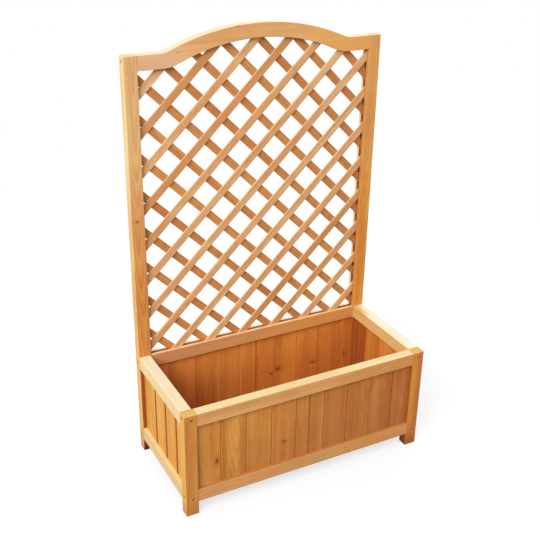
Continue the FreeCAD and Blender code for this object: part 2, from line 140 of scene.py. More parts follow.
def timber(name, grain, pale, dark, middle, seed, heart=(0.02, 0.05, 0.0), rings=(0.006, 0.22),
           bands=1.25, mottle=0.5, red=None, red_share=0.4, red_length=0.06,
           painted_light=(0.0, 0.0, 0.0), highlight_colour=stain(212, 192, 140), knots=(), marks=(), seams=(),
           laths=None, roughness=0.55):
    """Planed and stained softwood.

    Growth rings are cylinders about the tree's heart, a line that passes heart (two distances
    across the grain) from the piece's middle and leaves the grain's direction by heart's third
    value, a slope; rings gives their width and their contrast. A face that cuts them lengthwise
    shows long lines, or pointed arches where the heart slopes, and a sawn end shows arcs.
    Streaks, fibres and the broad bands are noise drawn out along the grain, and mottle is the
    stain's own unevenness; red tints long stretches, by red_share.

    A knot is a branch that crosses the piece square to its face: its place, and its half sizes,
    0 along the branch; it pushes the rings aside. The three shares of painted light pale the
    timber towards its highlight colour as a painted highlight: on top, on the side that faces
    left, and high up on the trellis, where the lamps light it most. A mark is a place with a
    colour of its own, some a real stain and some painted shade or painted light: its middle,
    its half sizes (0 for no end), how soft its edge is, the direction that its faces look in
    (or None), its colour and its share. Stain gathers in the seams: a direction, the stain's
    width and colour, and pairs of a distance along the direction and the stain's share. Laths
    share one node, and each gets its own heart and tone: laths gives their pitch, how far their
    tones spread, and how much darker some of them are, by number."""
    material, tree = new_finish(name)
    spot = put(tree, "ShaderNodeTexCoord")
    here = spot.outputs["Object"]
    facing = spot.outputs["Normal"]
    place = steer(tree, "SUBTRACT", here, middle)

    # How far a point lies along the grain, and across it both ways.
    fibre = Vector(grain).normalized()
    level = max(abs(fibre.x), abs(fibre.y)) > 0.9
    second = Vector((0, 0, 1)) if level else Vector((0, 1, 0))
    first = second.cross(fibre)
    run = along(tree, place, fibre)
    side_a = along(tree, place, first)
    side_b = along(tree, place, second)
    heart_a, heart_b, heart_slope = heart
    heart_b = reckon(tree, "MULTIPLY_ADD", run, heart_slope, heart_b)
    shift = seed * 3.71                 # so that no piece's noise starts where another's does
    tone = 0.0
    if laths:
        pitch, tone_spread, darker = laths
        number = reckon(tree, "ROUND", reckon(tree, "DIVIDE", side_a, pitch))
        side_a = reckon(tree, "SUBTRACT", side_a, reckon(tree, "MULTIPLY", number, pitch))
        draw = put(tree, "ShaderNodeTexWhiteNoise", {"W": reckon(tree, "ADD", number, seed + 0.5)},
                   noise_dimensions="1D")
        own = put(tree, "ShaderNodeSeparateColor", {0: draw.outputs["Color"]}).outputs
        heart_spread, heart_depth, nearest_heart, shift_spread = 0.08, 0.05, 0.01, 40.0
        heart_a = reckon(tree, "MULTIPLY_ADD", own[0], heart_spread, -heart_spread / 2)
        heart_b = reckon(tree, "MULTIPLY_ADD", own[1], heart_depth, nearest_heart)
        shift = reckon(tree, "MULTIPLY_ADD", own[2], shift_spread, seed)
        tone = reckon(tree, "MULTIPLY_ADD", draw.outputs["Value"], tone_spread, -tone_spread / 2)
        for darker_one, by in darker.items():
            is_this_one = reckon(tree, "COMPARE", number, darker_one, 0.5)
            tone = reckon(tree, "MULTIPLY_ADD", is_this_one, by, tone)
    run = reckon(tree, "ADD", run, shift)
    local = put(tree, "ShaderNodeCombineXYZ", {0: side_a, 1: side_b, 2: run}).outputs[0]

    # The grain sways from side to side, and the rings are cylinders about the heart.
    drawn_out = steer(tree, "MULTIPLY", local, (1.0, 1.0, 0.22))
    wander = put(tree, "ShaderNodeTexNoise", {"Vector": drawn_out, "Scale": 9.0, "Detail": 1.0})
    sway_width = 0.016
    sway = steer(tree, "MULTIPLY_ADD", wander.outputs["Color"], (sway_width, sway_width, 0.0),
                 (-sway_width / 2, -sway_width / 2, 0.0))
    bent = steer(tree, "ADD", local, sway)
    core = put(tree, "ShaderNodeCombineXYZ", {0: heart_a, 1: heart_b}).outputs[0]
    from_core = steer(tree, "MULTIPLY", steer(tree, "SUBTRACT", bent, core), (1.0, 1.0, 0.0))
    radius = length_of(tree, from_core)

    # A knot has a ragged core and a paler halo, and the rings swerve round it.
    knot_share = halo_share = 0.0
    swerve, raggedness = 0.009, 0.9
    for knot_place, half_sizes in knots:
        away = length_of(tree, in_half_sizes(tree, here, knot_place, half_sizes))
        ragged = add_noise(tree, away, clouds(tree, here, 330.0), raggedness)
        radius = reckon(tree, "ADD", radius, fade(tree, away, 0.5, 4.5, swerve, 0.0))
        knot_share = reckon(tree, "MAXIMUM", knot_share, fade(tree, ragged, 0.55, 1.25, 0.9, 0.0))
        halo_share = reckon(tree, "MAXIMUM", halo_share, fade(tree, ragged, 1.0, 3.2, 0.42, 0.0))

    # Each ring darkens slowly to its late wood, and ends sharply.
    ring_width, ring_share = rings
    uneven = grain_clouds(tree, bent, 0.1, 45.0, 1.0)
    turn = reckon(tree, "ADD", reckon(tree, "DIVIDE", radius, ring_width), uneven)
    phase = reckon(tree, "FRACT", turn)
    ring = reckon(tree, "MULTIPLY", fade(tree, phase, 0.2, 0.8),
                  fade(tree, phase, 0.84, 1.0, 1.0, 0.0))

    # The dark stain's share: rings, streaks, fibres, broad bands, patches and mottling.
    streaks = grain_clouds(tree, bent, 0.012, 150.0, 3.0, 0.6)
    fibres = grain_clouds(tree, local, 0.02, 1100.0, 2.0, 0.6)
    broad = grain_clouds(tree, bent, 0.03, 34.0)
    patches = grain_clouds(tree, local, 0.5, 9.0)
    mottling = grain_clouds(tree, local, 0.6, 48.0, 3.0, 0.6)
    share = reckon(tree, "MULTIPLY_ADD", ring, ring_share, 0.5 - 0.4 * ring_share)
    for noise, weight in ((streaks, 0.6), (fibres, 0.4), (broad, bands), (patches, 0.9),
                          (mottling, mottle)):
        share = add_noise(tree, share, noise, weight)
    share = fade(tree, reckon(tree, "ADD", share, tone), 0.0, 1.0)
    colour = blend_stain(tree, share, pale, dark)
    if red:
        warm = fade(tree, grain_clouds(tree, bent, red_length, 20.0), 0.42, 0.64)
        colour = blend_stain(tree, reckon(tree, "MULTIPLY", warm, red_share), colour, red)

    # Painted highlight: paler on top, on the left side and high up, where the lamps light it most.
    on_top, on_left, high_up = painted_light
    towards = parts_of(tree, facing)
    height = parts_of(tree, here)[2]
    lit_share = reckon(tree, "MULTIPLY", fade(tree, towards[2], 0.5, 0.95), on_top)
    lit_share = reckon(tree, "MULTIPLY_ADD", fade(tree, towards[0], -0.95, -0.5, 1.0, 0.0), on_left, lit_share)
    lit_share = reckon(tree, "MULTIPLY_ADD", fade(tree, height, 0.45, 1.15), high_up, lit_share)
    lit_share = reckon(tree, "MULTIPLY", lit_share, fade(tree, patches, 0.3, 0.7, 1.15, 0.85))
    colour = blend_stain(tree, lit_share, colour, highlight_colour)

    if knots:
        colour = blend_stain(tree, halo_share, colour, stain(150, 76, 36))
        colour = blend_stain(tree, knot_share, colour, stain(112, 52, 26))
    if seams:
        direction, seam_width, seam_stain, distances = seams
        seam_core = 0.0012              # stained in full, this far from the seam
        reach = along(tree, here, direction)
        for distance, seam_share in distances:
            gap = reckon(tree, "ABSOLUTE", reckon(tree, "SUBTRACT", reach, distance))
            gathered = fade(tree, gap, seam_core, seam_width, seam_share, 0.0)
            colour = blend_stain(tree, gathered, colour, seam_stain)
    for mark_place, half_sizes, softness, looks, mark_stain, mark_share in marks:
        off_middle = in_half_sizes(tree, here, mark_place, half_sizes)
        sides = parts_of(tree, steer(tree, "ABSOLUTE", off_middle))
        away = reckon(tree, "MAXIMUM", reckon(tree, "MAXIMUM", sides[0], sides[1]), sides[2])
        away = add_noise(tree, away, mottling, 2 * softness)
        cover = fade(tree, away, 1.0 - softness, 1.0 + softness, mark_share, 0.0)
        if looks:
            turned_so = fade(tree, along(tree, facing, looks), 0.5, 0.9)
            cover = reckon(tree, "MULTIPLY", cover, turned_so)
        colour = blend_stain(tree, cover, colour, mark_stain)

    # A sawn end soaks up more stain, and is rougher.
    lengthwise = reckon(tree, "ABSOLUTE", along(tree, facing, fibre))
    end_grain = fade(tree, lengthwise, 0.55, 0.95)
    soaked = blend_stain(tree, 1.0, colour, stain(240, 222, 190), "MULTIPLY")
    colour = blend_stain(tree, end_grain, colour, soaked)

    darker_rougher, patchy, end_rougher = 0.10, 0.25, 0.18
    gloss = reckon(tree, "MULTIPLY_ADD", share, darker_rougher, roughness - darker_rougher / 2)
    gloss = add_noise(tree, gloss, patches, patchy)
    gloss = reckon(tree, "MULTIPLY_ADD", end_grain, end_rougher, gloss)
    raised = reckon(tree, "MULTIPLY_ADD", ring, 0.4, fibres)
    raised = reckon(tree, "MULTIPLY_ADD", streaks, 0.8, raised)
    relief = put(tree, "ShaderNodeBump", {"Strength": 0.35, "Distance": 0.00035, "Height": raised})
    wood = put(tree, "ShaderNodeBsdfPrincipled", {
        "Base Color": colour, "Roughness": gloss, "IOR": 1.45, "Specular IOR Level": 0.2,
        "Normal": relief.outputs[0]})
    put(tree, "ShaderNodeOutputMaterial", {"Surface": wood.outputs[0]})
    return material


def dress(node, material):
    """Gives a piece of the frame its finish."""
    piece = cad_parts[node]
    piece.data.materials.clear()
    piece.data.materials.append(material)


def middle_of(node):
    """The middle of a piece's box."""
    low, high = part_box(node)
    return (Vector(low) + Vector(high)) / 2


front_face, left_face, upwards = (0, -1, 0), (-1, 0, 0), (0, 0, 1)
# painted highlight colour of the front posts' tops and left sides
post_highlight_colour = stain(214, 203, 132)
post_looks = {                          # heart, rings, pale and dark stain, shares of painted highlight and its colour
    "front_post_left": ((0.01, 0.06, 0.03), (0.005, 0.3), stain(200, 138, 64),
                        stain(172, 108, 44), (0.65, 0.36, 0.0), post_highlight_colour),
    "front_post_right": ((-0.03, 0.05, 0.02), (0.005, 0.3), stain(198, 130, 51),
                         stain(168, 99, 34), (0.65, 0.0, 0.0), post_highlight_colour),
    "rear_post_left": ((0.003, 0.016, -0.028), (0.0031, 0.42), stain(218, 158, 74),
                       stain(186, 112, 46), (0.9, 0.28, 0.26), stain(218, 217, 174)),
    "rear_post_right": ((0.030, 0.030, 0.02), (0.004, 0.35), stain(224, 157, 66),
                        stain(192, 118, 40), (0.9, 0.0, 0.2), stain(224, 202, 140)),
}
post_knots = {
    "front_post_right": [((0.357, -0.180, 0.116), (0.0030, 0, 0.0010))],
    "rear_post_left": [((-0.3647, 0.150, 0.743), (0.0030, 0, 0.0022))],
}
painted_wall_shade = stain(132, 62, 28)             # painted shade on the rear left post's front face, beside the left wall
painted_foot_shade = stain(104, 46, 24)               # painted shade on a foot's lower end
painted_contact_shade = stain(44, 20, 12)                # and darker painted shade on its last centimetre, by the floor
post_marks = {
    "front_post_left": [
        ((-0.380, -0.165, 0.180), (0.004, 0, 0.16), 0.2, left_face, stain(206, 157, 70), 0.65),
        ((-0.363, -0.180, 0.170), (0.010, 0, 0.15), 0.5, front_face, stain(182, 104, 54), 0.4),
        ((-0.363, -0.180, 0.0), (0, 0, 0.030), 0.6, front_face, stain(176, 104, 52), 0.5),
        ((-0.380, -0.165, 0.0), (0.004, 0, 0.030), 0.6, left_face, stain(176, 118, 74), 0.5),
    ],
    "front_post_right": [
        ((0.350, -0.180, 0.190), (0.012, 0, 0.15), 0.6, front_face, stain(214, 146, 60), 0.5),
        ((0.357, -0.180, 0.045), (0.010, 0, 0.030), 0.6, front_face, stain(186, 100, 48), 0.5),
        ((0.3615, -0.165, 0.0), (0, 0, 0.030), 0.6, front_face, stain(120, 62, 30), 0.5),
        # painted shade on the inner side beside the front boards, and on the foot's inner face
        ((0.343, -0.175, 0.183), (0.004, 0.0052, 0.104), 0.1, left_face, stain(140, 77, 20), 0.9),
        ((0.343, -0.165, 0.010), (0.004, 0, 0.060), 0.3, left_face, painted_foot_shade, 0.85),
        ((0.343, -0.165, 0.0), (0.004, 0, 0.008), 0.5, left_face, painted_contact_shade, 0.7),
    ],
    "rear_post_left": [
        # painted shade on the front face beside the left wall, darker down at the foot
        ((-0.3615, 0.150, 0.130), (0.0172, 0.0040, 0.155), 0.2, front_face, painted_wall_shade, 0.9),
        ((-0.3615, 0.150, 0.0), (0, 0.0040, 0.040), 0.5, front_face, painted_foot_shade, 0.95),
        ((-0.3615, 0.150, 0.0), (0, 0.0040, 0.012), 0.5, front_face, painted_contact_shade, 0.8),
        ((-0.380, 0.165, 0.25), (0.004, 0, 0.30), 0.4, left_face, stain(212, 168, 82), 0.45),
        ((-0.380, 0.165, 0.0), (0.004, 0, 0.060), 0.8, left_face, stain(178, 120, 72), 0.6),
        ((-0.3785, 0.150, 0.450), (0.0012, 0.0030, 0.020), 0.4, None, stain(150, 84, 40), 0.6),
    ],
    "rear_post_right": [
        # painted shade on the inner side in front of the laths, and a painted highlight behind
        # them
        ((0.343, 0.155, 0.750), (0.004, 0.0060, 0.42), 0.1, left_face, stain(170, 106, 52), 0.6),
        ((0.343, 0.176, 0.750), (0.004, 0.0052, 0.5), 0.1, left_face, stain(232, 204, 150), 0.85),
    ],
}
# painted shade on the posts' faces inside the box
painted_box_shade = ((0, 0, 0.183), (0.3575, 0.1605, 0.103), 0.002, None, stain(150, 72, 28), 0.8)
# painted highlight on the tall posts' tops
painted_top_highlight = ((0, 0.165, 1.182), (0, 0.04, 0.002), 0.4, upwards, stain(214, 204, 188), 0.95)
for side, groove_x in (("left", -0.348), ("right", 0.348)):
    # painted shade inside the laths' groove
    groove = ((groove_x, 0.165, 0.734), (0.0055, 0.0055, 0.417), 0.01, None,
              stain(132, 68, 32), 0.85)
    post_marks["rear_post_" + side] += [groove, painted_top_highlight]
for number, (node, looks) in enumerate(post_looks.items()):
    heart, rings, pale, dark, painted_light, highlight_colour = looks
    finish = timber(node + "_timber", (0, 0, 1), pale, dark, middle_of(node), 11 + number, heart,
                    rings, red=stain(190, 112, 62), painted_light=painted_light, highlight_colour=highlight_colour,
                    knots=post_knots.get(node, ()), marks=post_marks[node] + [painted_box_shade])
    dress(node, finish)

# ---- Rails of the box ---------------------------------------------------------------------------
# Eight rails between the posts, four below and four above the boards, each planed, grooved and
# held by a screw at each end. They are the palest timber. Their tops and left sides carry a
# painted highlight, and the front lower rail's ledge and the back upper rail's groove carry
# painted shade.

rail_timber = (stain(212, 165, 104), stain(188, 134, 76))
lower_timber = (stain(208, 158, 98), stain(184, 128, 72))
back_timber = (stain(206, 152, 94), stain(182, 124, 70))
cream = stain(203, 203, 162)            # painted highlight colours for the rails' tops and left sides
straw = stain(214, 199, 148)
chalky = stain(209, 213, 185)
rails = {                               # grain, pale and dark stain, shares of painted highlight and its colour
    "lower_rail_front": ((1, 0, 0), lower_timber, (0.0, 0.3, 0.0), straw),
    "lower_rail_back": ((1, 0, 0), lower_timber, (0.5, 0.3, 0.0), straw),
    "lower_rail_left": ((0, 1, 0), rail_timber, (0.8, 0.55, 0.0), straw),
    "lower_rail_right": ((0, 1, 0), rail_timber, (0.5, 0.3, 0.0), straw),
    "upper_rail_front": ((1, 0, 0), rail_timber, (0.6, 0.3, 0.0), cream),
    "upper_rail_back": ((1, 0, 0), back_timber, (0.6, 0.3, 0.0), stain(226, 186, 138)),
    "upper_rail_left": ((0, 1, 0), rail_timber, (0.7, 0.6, 0.0), chalky),
    "upper_rail_right": ((0, 1, 0), rail_timber, (0.9, 0.4, 0.0), stain(210, 206, 182)),
}
rail_knots = {
    "lower_rail_front": [((0.123, -0.180, 0.064), (0.0022, 0, 0.0028)),
                         ((0.136, -0.180, 0.049), (0.0030, 0, 0.0018)),
                         ((0.237, -0.180, 0.055), (0.0020, 0, 0.0034))],
}
brownish, tawny = stain(198, 134, 72), stain(218, 148, 76)
rail_marks = {
    "upper_rail_front": [
        ((0.25, -0.180, 0.30), (0.13, 0, 0.06), 0.5, front_face, brownish, 0.6),
        ((0.0, -0.165, 0.325), (0.10, 0, 0.002), 0.7, upwards, stain(204, 166, 108), 0.4),
        ((0.050, -0.180, 0.292), (0.006, 0, 0.0012), 0.5, front_face, cream, 0.6),
        ((0.060, -0.180, 0.300), (0.030, 0, 0.010), 0.7, front_face, tawny, 0.3),
        ((-0.150, -0.180, 0.300), (0.040, 0, 0.010), 0.7, front_face, tawny, 0.25),
    ],
    "lower_rail_front": [
        ((0.26, -0.180, 0.06), (0.13, 0, 0.06), 0.5, front_face, brownish, 0.7),
        # painted shade on the ledge along the rail's top, under the boards
        ((0, -0.175, 0.080), (0, 0, 0.0015), 0.4, upwards, stain(164, 104, 48), 0.85),
    ],
    "upper_rail_left": [
        # a yellower painted highlight on the left face
        ((-0.379, 0, 0.305), (0.003, 0, 0.03), 0.3, left_face, stain(222, 191, 132), 0.55),
    ],
    "upper_rail_back": [
        ((0.22, 0.150, 0.30), (0.14, 0, 0.06), 0.5, front_face, stain(204, 138, 66), 0.6),
        ((-0.29, 0.150, 0.30), (0.08, 0, 0.06), 0.5, front_face, stain(186, 126, 92), 0.5),
        # painted shade in the laths' groove, and a painted highlight on its rear lip
        ((0, 0.165, 0.320), (0, 0.0055, 0.0055), 0.01, None, stain(140, 78, 38), 0.55),
        ((0, 0.1765, 0.325), (0, 0.0063, 0.004), 0.05, upwards, stain(240, 226, 200), 0.85),
    ],
    "upper_rail_right": [
        ((0.346, 0, 0.305), (0.004, 0, 0.03), 0.3, left_face, stain(207, 163, 84), 0.7),
        ((0.350, 0.120, 0.325), (0.010, 0.034, 0.02), 0.5, None, stain(196, 154, 84), 0.75),
    ],
}
for number, (node, (grain, (pale, dark), painted_light, highlight_colour)) in enumerate(rails.items()):
    heart = (0.05 - 0.012 * number, -0.06 + 0.005 * number, 0.0)
    finish = timber(node + "_timber", grain, pale, dark, middle_of(node), 31 + number, heart,
                    rings=(0.007, 0.14), red=stain(206, 134, 84), red_share=0.45, red_length=0.35,
                    painted_light=painted_light, highlight_colour=highlight_colour, knots=rail_knots.get(node, ()),
                    marks=rail_marks.get(node, ()))
    dress(node, finish)

# ---- Wall boards --------------------------------------------------------------------------------
# Twenty-eight tongue-and-groove boards of planed softwood stand in the rails' grooves as the four
# walls. Each has its own tone, from golden to reddish brown, and some have knots.

golden = (stain(218, 160, 66), stain(196, 130, 46))
bright = (stain(216, 154, 72), stain(188, 120, 50))
honey = (stain(208, 146, 68), stain(180, 110, 46))
tan = (stain(202, 136, 64), stain(176, 104, 46))
russet = (stain(194, 124, 64), stain(164, 92, 42))
fawn = (stain(205, 140, 72), stain(179, 112, 51))
chestnut = (stain(198, 131, 66), stain(171, 102, 45))
amber = (stain(218, 140, 62), stain(190, 106, 42))      # from here on, boards seen inside the box
rosy = (stain(222, 138, 68), stain(196, 106, 48))
apricot = (stain(220, 146, 64), stain(194, 112, 44))
copper = (stain(213, 134, 60), stain(184, 101, 40))
ochre = (stain(200, 134, 52), stain(173, 99, 36))
umber = (stain(162, 88, 42), stain(136, 66, 26))
wall_tones = {                          # from the left, or from the front
    "front": [bright, honey, honey, tan, tan, fawn, chestnut, chestnut, russet, russet],
    "back": [rosy, amber, amber, apricot, amber, copper, apricot, amber, copper, amber],
    "left": [(stain(217, 156, 58), stain(195, 126, 40)), golden, golden, golden],
    "right": [amber, (stain(210, 137, 58), stain(182, 104, 40)), ochre, umber],
}
clean, faint, plain, strong, deep = 0.0, 0.1, 0.25, 0.5, 1.0
wall_joints = {                         # how much stain each joint has gathered
    "front": [clean, clean, faint, faint, strong, clean, plain, faint, strong],
    "back": [faint, faint, faint, faint, strong, faint, faint, plain, faint],
    "left": [deep, deep, deep],
    "right": [faint, faint, strong],
}
wall_looks = {                          # bands, red share, width and colour of the joints' stain
    "front": (1.6, 0.35, 0.0055, stain(130, 64, 24)),
    "back": (0.6, 0.35, 0.0055, stain(130, 64, 24)),
    "left": (0.9, 0.15, 0.010, stain(128, 61, 18)),
    "right": (0.9, 0.35, 0.020, stain(152, 74, 26)),
}
wall_knots = {
    "front_board_01": [((-0.284, -0.170, 0.149), (0.0046, 0, 0.0090))],
    "front_board_04": [((-0.0765, -0.170, 0.146), (0.0044, 0, 0.0040))],
    "back_board_06": [((0.055, 0.160, 0.146), (0.0040, 0, 0.0045))],
    "back_board_07": [((0.078, 0.160, 0.157), (0.0090, 0, 0.0050))],
    "back_board_08": [((0.207, 0.160, 0.148), (0.0085, 0, 0.0036))],
    "back_board_10": [((0.326, 0.160, 0.147), (0.0028, 0, 0.0075))],
}
swirl = stain(152, 76, 34)              # darker grain beside a knot
wall_marks = {
    "front_board_02": [
        ((-0.206, -0.170, 0.160), (0.009, 0, 0.10), 0.5, front_face, stain(174, 98, 42), 0.6),
        ((-0.240, -0.170, 0.200), (0.014, 0, 0.08), 0.6, front_face, stain(214, 152, 72), 0.4),
    ],
    "front_board_04": [
        ((-0.0765, -0.170, 0.146), (0.013, 0, 0.0030), 0.6, front_face, swirl, 0.3),
    ],
    "back_board_02": [
        # painted light, paler where the left and front walls shade the board
        ((-0.224, 0.160, 0.185), (0.020, 0, 0.09), 0.6, front_face, stain(222, 135, 68), 0.6),
    ],
    "back_board_06": [
        ((0.032, 0.160, 0.157), (0.012, 0, 0.0030), 0.6, front_face, swirl, 0.4),
    ],
    "back_board_07": [
        ((0.090, 0.160, 0.166), (0.010, 0, 0.0030), 0.6, front_face, swirl, 0.4),
    ],
    "back_board_08": [
        ((0.222, 0.160, 0.148), (0.016, 0, 0.0026), 0.6, front_face, swirl, 0.4),
    ],
    "right_board_04": [
        # painted shade in the back corner
        ((0.3575, 0.135, 0.190), (0, 0.005, 0.12), 0.5, left_face, stain(112, 46, 18), 0.5),
    ],
}
# painted light on three joints of the back wall, where the chamfers' shade falls
painted_joint_light = [((x, 0.160, 0.185), (0.0020, 0, 0.10), 0.4, None, stain(222, 146, 76), 0.6)
               for x in (-0.2075, -0.130, -0.0525)]
painted_wall_light_and_shade = {                         # painted shade, darker towards the bottom, and painted light on three joints
    "front": [
        ((0, -0.170, 0.080), (0, 0, 0.10), 0.6, front_face, stain(148, 84, 46), 0.22),
    ],
    "back": [
        ((0.2, 0.160, 0.100), (0.25, 0, 0.09), 0.6, front_face, stain(140, 62, 28), 0.25),
        ((-0.18, 0.160, 0.110), (0.14, 0, 0.08), 0.6, front_face, stain(154, 62, 32), 0.2),
    ] + painted_joint_light,
    "left": [],
    "right": [],
}
half_gap = 0.0002                       # half the gap between two boards' shoulders
for wall, tones in wall_tones.items():
    across = Vector((1, 0, 0)) if wall in ("front", "back") else Vector((0, 1, 0))
    bands, red_share, seam_width, seam_stain = wall_looks[wall]
    nodes = ["%s_board_%02d" % (wall, number + 1) for number in range(len(tones))]
    edges = [Vector(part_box(node)[0]).dot(across) - half_gap for node in nodes]
    joints = list(zip(edges[1:], wall_joints[wall]))
    for number, (node, (pale, dark)) in enumerate(zip(nodes, tones), 1):
        seed = 51 + 7 * number + 97 * len(wall)
        contrast = 0.10
        heart = (0.03 * math.sin(seed), 0.05 + 0.02 * math.cos(seed), 0.12 * math.sin(2.3 * seed))
        if node == "front_board_02":    # sawn near its heart, which slopes
            contrast = 0.35
            heart = (0.004, 0.022, -0.12)
        own_joints = joints[max(0, number - 2):number]
        finish = timber(node + "_timber", (0, 0, 1), pale, dark, middle_of(node), seed, heart,
                        rings=(0.008, contrast), bands=bands, red=stain(164, 88, 38),
                        red_share=red_share, knots=wall_knots.get(node, ()),
                        marks=painted_wall_light_and_shade[wall] + wall_marks.get(node, []),
                        seams=(across, seam_width, seam_stain, own_joints))
        dress(node, finish)

# ---- Base ---------------------------------------------------------------------------------------
# Two battens are screwed to the lower rails, and seven slats are screwed down on them with gaps
# between, for water to drain. They are sawn, duller and rougher than the rest.

base_pale = stain(190, 128, 72)
base_dark = stain(150, 92, 48)
base_pieces = {"base_batten_front": (1, 0, 0), "base_batten_back": (1, 0, 0)}
base_pieces.update({"base_slat_%d" % number: (0, 1, 0) for number in range(1, 8)})
for number, (node, grain) in enumerate(base_pieces.items()):
    finish = timber(node + "_timber", grain, base_pale, base_dark, middle_of(node),
                    71 + 3 * number, (0.02, 0.04, 0.0), rings=(0.005, 0.35), roughness=0.62)
    dress(node, finish)

# ---- Lattice ------------------------------------------------------------------------------------
# Two layers of planed laths at nearly 45 degrees, the front layer rising to the right and the back
# layer to the left, with their ends in grooves. The back layer is the darker, warmer batch.

lath_rise = 0.98                        # upwards for each metre along the planter
front_pitch, front_height = 0.1045, 0.7870      # upright pitch, and where a lath crosses the
back_pitch, back_height = 0.1038, 0.7856        # planter's middle line
front_darker = {-5: 0.55, -3: 0.55, -2: 0.2, -1: -0.1, 1: -0.1, 3: -0.08, 4: 0.4, 5: 0.2, 6: 0.15}
back_darker = {-3: 0.15, -2: -0.12, -1: -0.15, 0: -0.12, 1: 0.2, 2: -0.12, 4: 0.25, 5: 0.2}
lath_layers = {                         # slant, pitch, height, darker laths, pale, dark and red
    "lattice_front_laths": (1, front_pitch, front_height, front_darker,
                            stain(214, 176, 129), stain(189, 130, 76), stain(202, 142, 98)),
    "lattice_back_laths": (-1, back_pitch, back_height, back_darker,
                           stain(200, 138, 76), stain(172, 106, 50), stain(184, 110, 68)),
}
tone_spread = 0.25
for node, (slant, pitch, height, darker, pale, dark, red) in lath_layers.items():
    square_pitch = pitch / math.hypot(1, lath_rise)
    # painted highlight on the laths' tops and left-facing sides
    finish = timber(node + "_timber", (slant, 0, lath_rise), pale, dark,
                    Vector((0.0, 0.165, height)), 98 - 7 * slant, rings=(0.005, 0.2), mottle=0.8,
                    red=red, red_share=0.55, red_length=0.3, painted_light=(0.65, 0.65, 0.0),
                    highlight_colour=stain(200, 186, 150), laths=(square_pitch, tone_spread, darker))
    dress(node, finish)

# ---- Arched top rail ----------------------------------------------------------------------------
# The trellis's top rail, sawn to an arch out of one wide plank, so the grain runs level through it
# and the arch cuts across it. A groove in its underside holds the laths.

arch_marks = [                          # paler left end, golden right end, painted shade in the groove, two blemishes
    ((-0.295, 0.150, 1.150), (0.062, 0, 0.08), 0.5, front_face, stain(204, 165, 136), 0.6),
    ((0.270, 0.150, 1.150), (0.110, 0, 0.10), 0.5, front_face, stain(214, 153, 70), 0.6),
    ((0.0, 0.165, 0.0), (0.345, 0.0052, 1.1535), 0.002, None, stain(120, 64, 32), 0.7),
    ((-0.234, 0.150, 1.181), (0.005, 0, 0.0016), 0.6, front_face, stain(160, 98, 56), 0.5),
    ((-0.069, 0.150, 1.2345), (0.006, 0, 0.0018), 0.6, front_face, stain(150, 78, 40), 0.7),
]
# painted highlight on the arch's top
finish = timber("arched_top_rail_timber", (1, 0, 0), stain(220, 172, 112), stain(198, 146, 90),
                middle_of("arched_top_rail"), 43, (0.05, 0.02, 0.0), rings=(0.006, 0.25),
                red=stain(208, 144, 104), red_share=0.35, red_length=0.3, painted_light=(0.75, 0.0, 0.0),
                highlight_colour=stain(208, 194, 166), marks=arch_marks)
dress("arched_top_rail", finish)

# ---- Screws -------------------------------------------------------------------------------------
# Zinc-plated steel screws with a yellow passivation, driven a millimetre below the timber, with a
# cross recess in the head. The brush has gone over them, so stain has dried brown on the heads.


def screw_steel():
    """Plated steel under dried stain: brown, paler where the stain has rubbed off."""
    material, tree = new_finish("screw_steel")
    here = put(tree, "ShaderNodeTexCoord").outputs["Object"]
    rubbed = fade(tree, clouds(tree, here, 900.0, 3.0), 0.4, 0.62)
    scratches = clouds(tree, here, 4000.0)
    colour = blend_stain(tree, rubbed, stain(114, 64, 26), stain(160, 103, 46))
    gloss = reckon(tree, "MULTIPLY_ADD", scratches, 0.3, 0.4)
    relief = put(tree, "ShaderNodeBump", {
        "Strength": 0.3, "Distance": 0.0001, "Height": scratches})
    steel = put(tree, "ShaderNodeBsdfPrincipled", {
        "Base Color": colour, "Metallic": 0.2, "Roughness": gloss, "Normal": relief.outputs[0]})
    put(tree, "ShaderNodeOutputMaterial", {"Surface": steel.outputs[0]})
    return material


steel = screw_steel()
for node in ("frame_screws", "base_screws"):
    dress(node, steel)

# ---- Lath staples -------------------------------------------------------------------------------
# Flat wire staples, one shot into each crossing of the laths from behind. Only their crowns show,
# and the gun was never held quite level.


def staple_crowns(places, tilts, half_crown, half_width, half_height):
    """Crowns of flat wire at places, all on one upright back face.

    Two parameters: s from -1 to 1 along the crown, and a full turn t round the wire. The wire's
    middle lies s times half_crown from the crown's place, in the direction that the crown's tilt
    gives. It stands half_height off the face and dives into the timber by the sixteenth power
    of s. Round it the profile is an oval, half_width by half_height, squared up by taking the
    root of sine and cosine."""
    s = np.array([-1.0, -0.96, -0.86, 0.86, 0.96, 1.0])
    t = np.arange(8) * (np.pi / 4) + np.pi / 8
    wide = half_width * np.sign(np.cos(t)) * np.sqrt(np.abs(np.cos(t)))
    thick = half_height * np.sign(np.sin(t)) * np.sqrt(np.abs(np.sin(t)))
    reach = np.stack([np.cos(tilts), np.zeros(len(tilts)), np.sin(tilts)], axis=1)
    sideways = np.stack([-np.sin(tilts), np.zeros(len(tilts)), np.cos(tilts)], axis=1)
    outwards = np.array([0.0, 1.0, 0.0])
    off_face = half_height - 3.0 * half_height * s ** 16
    stretched = half_crown * s[None, :, None, None] * reach[:, None, None, :]
    points = (places[:, None, None, :] + stretched
              + wide[None, None, :, None] * sideways[:, None, None, :]
              + (off_face[None, :, None, None] + thick[None, None, :, None]) * outwards)
    count, stations, sides = len(places), len(s), len(t)
    grid = np.arange(count * stations * sides).reshape(count, stations, sides)
    onward = np.roll(grid, -1, axis=2)
    walls = np.stack([grid[:, :-1], grid[:, 1:], onward[:, 1:], onward[:, :-1]], axis=-1)
    ends = np.concatenate([grid[:, 0, :], grid[:, -1, ::-1]])
    return points.reshape(-1, 3), walls.reshape(-1, 4).tolist() + ends.tolist()


